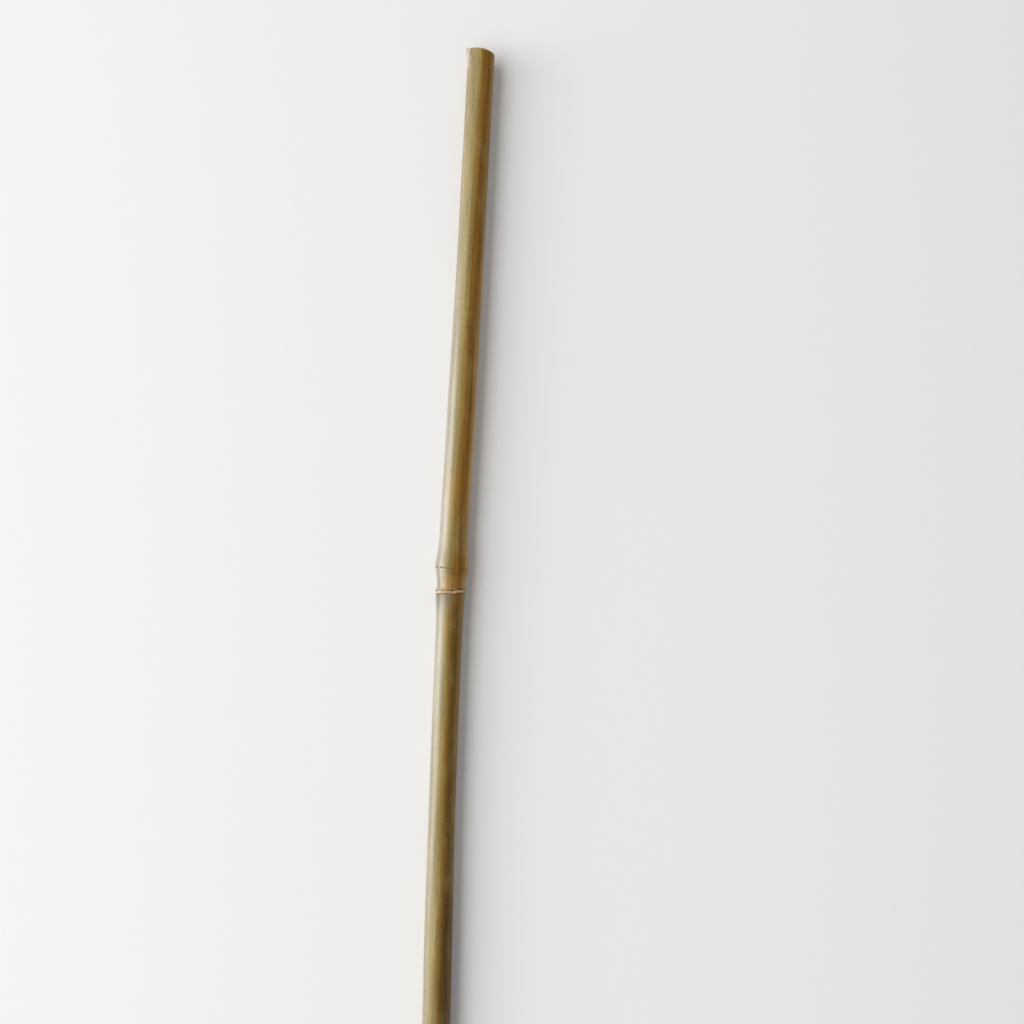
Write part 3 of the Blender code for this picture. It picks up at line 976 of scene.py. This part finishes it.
# Widths along a loose fibre and along the sliver: share of the length and share of the width
FIBRE_TAPER = ((0.0, 0.9), (0.2, 1.0), (0.45, 0.92), (0.7, 0.7), (0.88, 0.45), (1.0, 0.12))
SLIVER_TAPER = ((0.0, 0.06), (0.2, 0.3), (0.45, 0.6), (0.7, 0.85), (0.9, 1.0), (1.0, 0.92))


def fibre_rows(
    stem, distance, angle, length, width, thickness, spread, inset, taper=FIBRE_TAPER, tilt=0.0
):
    """A loose splinter at a cut end, from its root to its point, as flat tapering rings.

    A negative length runs towards the thin end. The spread is how far its point leaves the rind, and
    the tilt how much less of that its upper edge does.
    """

    def place(along, share, turn):
        sideways = math.cos(turn) * width * share
        where = distance + length * along
        leaves = spread * (1 - tilt + tilt * math.cos(turn)) * along**1.2
        radius = stem.radius(where, angle) - inset + leaves
        radius += math.sin(turn) * thickness * share
        swing = angle + sideways / radius
        at = stem.point(where + stem.shift(where, swing), swing, radius)
        return at, Vector((sideways, where, math.sin(turn) * thickness))

    return [(functools.partial(place, *row), 0) for row in taper]


def joined(meshes):
    """Several meshes as one, with their grain kept."""
    whole = bmesh.new()
    for mesh in meshes:
        data = bpy.data.meshes.new("part")
        mesh.to_mesh(data)
        mesh.free()
        whole.from_mesh(data)
        bpy.data.meshes.remove(data)
    return whole


def stem_and_colours(context):
    return Stem(context.scene.cane_shape), context.scene.cane_colours


class CANE_OT_stem(bpy.types.Operator):
    """Make the stem with its nodes, cut ends and bores"""

    bl_idname = "cane.stem"
    bl_label = "Stem"
    bl_options = {"REGISTER", "UNDO"}

    def execute(self, context):
        stem, colours = stem_and_colours(context)
        lining = woody_material("cane_lining", colours.cut, colours.bundles, 0.5 * MM, 0.85)
        materials = (rind_material(colours, stem), cut_material(colours, stem), lining)
        mesh = tube(stem_rows(stem), STEM_SIDES)
        lay_out(mesh, stem.length)
        piece("stem", mesh, materials)
        return {"FINISHED"}


class CANE_OT_lips(bpy.types.Operator):
    """Make the torn lips where the leaf sheaths fell off"""

    bl_idname = "cane.lips"
    bl_label = "Sheath lips"
    bl_options = {"REGISTER", "UNDO"}

    def execute(self, context):
        stem, colours = stem_and_colours(context)
        material = woody_material("torn_sheath", colours.sheath, colours.worn, 0.3 * MM)
        for name, ridge, seed in zip(("upper_lip", "lower_lip"), stem.ridges, (1.3, 7.9)):
            mesh = tube(lip_rows(stem, ridge, seed), LIP_SIDES, closed=True)
            piece(name, mesh, (material,), smooth_angle=70)
        return {"FINISHED"}


class CANE_OT_stubs(bpy.types.Operator):
    """Make the stubs of the trimmed branches"""

    bl_idname = "cane.stubs"
    bl_label = "Branch stubs"
    bl_options = {"REGISTER", "UNDO"}

    def execute(self, context):
        stem, colours = stem_and_colours(context)
        bark = woody_material("stub_bark", colours.straw, colours.tan, 0.35 * MM, 0.55)
        pith = woody_material("stub_pith", colours.cut, colours.bundles, 0.25 * MM, 0.85)
        branches = zip(("upper_stub", "lower_stub"), stem.ridges, BRANCH_ANGLES)
        for name, ridge, angle in branches:
            mesh = tube(stub_rows(stem, ridge, angle), STUB_SIDES)
            piece(name, mesh, (bark, pith))
        return {"FINISHED"}


class CANE_OT_sliver(bpy.types.Operator):
    """Make the sliver that peels off beside the thin end's cut"""

    bl_idname = "cane.sliver"
    bl_label = "Peeled sliver"
    bl_options = {"REGISTER", "UNDO"}

    def execute(self, context):
        stem, colours = stem_and_colours(context)
        material = woody_material("peeled_sliver", colours.sliver, colours.pale_and_highlight, 0.25 * MM)
        rows = fibre_rows(
            stem,
            PEEL_LENGTH,
            PEEL_ANGLE,
            length=-PEEL_LENGTH,
            width=PEEL_HALF_WIDTH,
            thickness=PEEL_HALF_THICKNESS,
            spread=PEEL_GAP,
            inset=PEEL_INSET,
            taper=SLIVER_TAPER,
            tilt=PEEL_TILT,
        )
        piece("tip_sliver", tube(rows, SLIVER_SIDES), (material,))
        return {"FINISHED"}


class CANE_OT_fibres(bpy.types.Operator):
    """Make the loose fibres of the cut ends"""

    bl_idname = "cane.fibres"
    bl_label = "Loose fibres"
    bl_options = {"REGISTER", "UNDO"}

    def execute(self, context):
        stem, colours = stem_and_colours(context)
        draw = random.Random(11)
        material = woody_material("loose_fibre", colours.sheath, colours.cut, 0.2 * MM)
        for name, end, way in (("tip_fibres", 0.0, -1), ("butt_fibres", stem.length, 1)):
            made = []
            for _ in range(FIBRES_PER_END):
                angle = draw.uniform(0, math.tau)
                reach = min(draw.uniform(*FIBRE_REACH), abs(stem.shift(end, angle)))
                rooted = draw.uniform(*FIBRE_ROOT)
                rows = fibre_rows(
                    stem,
                    end - way * rooted,
                    angle,
                    length=way * (rooted + reach),
                    width=draw.uniform(*FIBRE_WIDTH),
                    thickness=draw.uniform(*FIBRE_THICKNESS),
                    spread=draw.uniform(*FIBRE_SPREAD),
                    inset=FIBRE_INSET,
                )
                made.append(tube(rows, FIBRE_SIDES))
            piece(name, joined(made), (material,))
        return {"FINISHED"}


class CANE_OT_stage(bpy.types.Operator):
    """Make the floor, the light and the camera"""

    bl_idname = "cane.stage"
    bl_label = "Stage"
    bl_options = {"REGISTER", "UNDO"}

    def execute(self, context):
        settings = context.scene.cane_stage
        make_floor(context, settings)
        make_light(context, settings)
        make_camera(context, Stem(context.scene.cane_shape))
        context.scene.view_settings.view_transform = "Standard"
        return {"FINISHED"}


def make_floor(context, settings):
    mesh = bmesh.new()
    bmesh.ops.create_grid(mesh, x_segments=2, y_segments=2, size=FLOOR_HALF_SIDE)
    data = bpy.data.meshes.new("floor")
    mesh.to_mesh(data)
    mesh.free()
    data.materials.append(floor_material(tuple(settings.floor)))
    floor = bpy.data.objects.new("floor", data)
    context.scene.collection.objects.link(floor)


def area_light(context, name, power, place, aim, size):
    data = bpy.data.lights.new(name, "AREA")
    data.shape = "RECTANGLE"
    data.energy = power
    data.size, data.size_y = size
    light = bpy.data.objects.new(name, data)
    light.location = place
    light.rotation_euler = (Vector(aim) - Vector(place)).to_track_quat("-Z", "Y").to_euler()
    context.scene.collection.objects.link(light)


def make_light(context, settings):
    world = bpy.data.worlds.new("even_light")
    world.use_nodes = True
    world.node_tree.nodes["Background"].inputs["Color"].default_value = (1.0, 1.0, 1.0, 1.0)
    world.node_tree.nodes["Background"].inputs["Strength"].default_value = settings.ambient
    context.scene.world = world
    area_light(context, "low_window", settings.low_window, *LOW_WINDOW)
    area_light(context, "high_window", settings.high_window, *HIGH_WINDOW)


def make_camera(context, stem):
    """Looks straight down, turned so that the stem leans as in the photograph."""
    data = bpy.data.cameras.new("camera")
    data.sensor_width = SENSOR_WIDTH
    data.lens = SENSOR_WIDTH * FOCAL_LENGTH / FRAME_SIDE
    data.clip_start = 0.01
    camera = bpy.data.objects.new("camera", data)
    right = Vector((math.cos(STEM_LEAN), math.sin(STEM_LEAN), 0.0))
    up = Vector((-math.sin(STEM_LEAN), math.cos(STEM_LEAN), 0.0))
    middle = FRAME_SIDE / 2
    height = TIP_AXIS_HEIGHT + FOCAL_LENGTH / PIXELS_PER_METRE
    rim = stem.point(stem.shift(0.0, math.pi / 2), math.pi / 2, stem.slim_radius)
    offset = right * (TIP_PIXEL[0] - middle) + up * (middle - TIP_PIXEL[1])
    camera.location = rim - offset * (height - rim.z) / FOCAL_LENGTH
    camera.location.z = height
    camera.rotation_euler = (0.0, 0.0, STEM_LEAN)
    context.scene.collection.objects.link(camera)
    context.scene.camera = camera


OPERATORS = (
    CANE_OT_stem,
    CANE_OT_lips,
    CANE_OT_stubs,
    CANE_OT_sliver,
    CANE_OT_fibres,
    CANE_OT_stage,
)


class CANE_PT_panel(bpy.types.Panel):
    """Lists the cane's sizes, colours and pieces"""

    bl_idname = "CANE_PT_panel"
    bl_label = "Bamboo cane"
    bl_space_type = "VIEW_3D"
    bl_region_type = "UI"
    bl_category = "Cane"

    def draw(self, context):
        for group in (context.scene.cane_shape, context.scene.cane_colours, context.scene.cane_stage):
            column = self.layout.box().column()
            for name in group.__annotations__:
                column.prop(group, name)
        for operator in OPERATORS:
            self.layout.operator(operator.bl_idname)


GROUPS = {"cane_shape": CaneShape, "cane_colours": CaneColours, "cane_stage": CaneStage}
CLASSES = (*GROUPS.values(), *OPERATORS, CANE_PT_panel)


def register():
    for item in CLASSES:
        bpy.utils.register_class(item)
    for name, group in GROUPS.items():
        setattr(bpy.types.Scene, name, PointerProperty(type=group))


def unregister():
    for name in GROUPS:
        delattr(bpy.types.Scene, name)
    for item in reversed(CLASSES):
        bpy.utils.unregister_class(item)


def main():
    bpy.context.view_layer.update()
    register()
    bpy.ops.cane.stem()
    bpy.ops.cane.lips()
    bpy.ops.cane.stubs()
    bpy.ops.cane.sliver()
    bpy.ops.cane.fibres()
    bpy.ops.cane.stage()


if __name__ == "__main__":
    main()
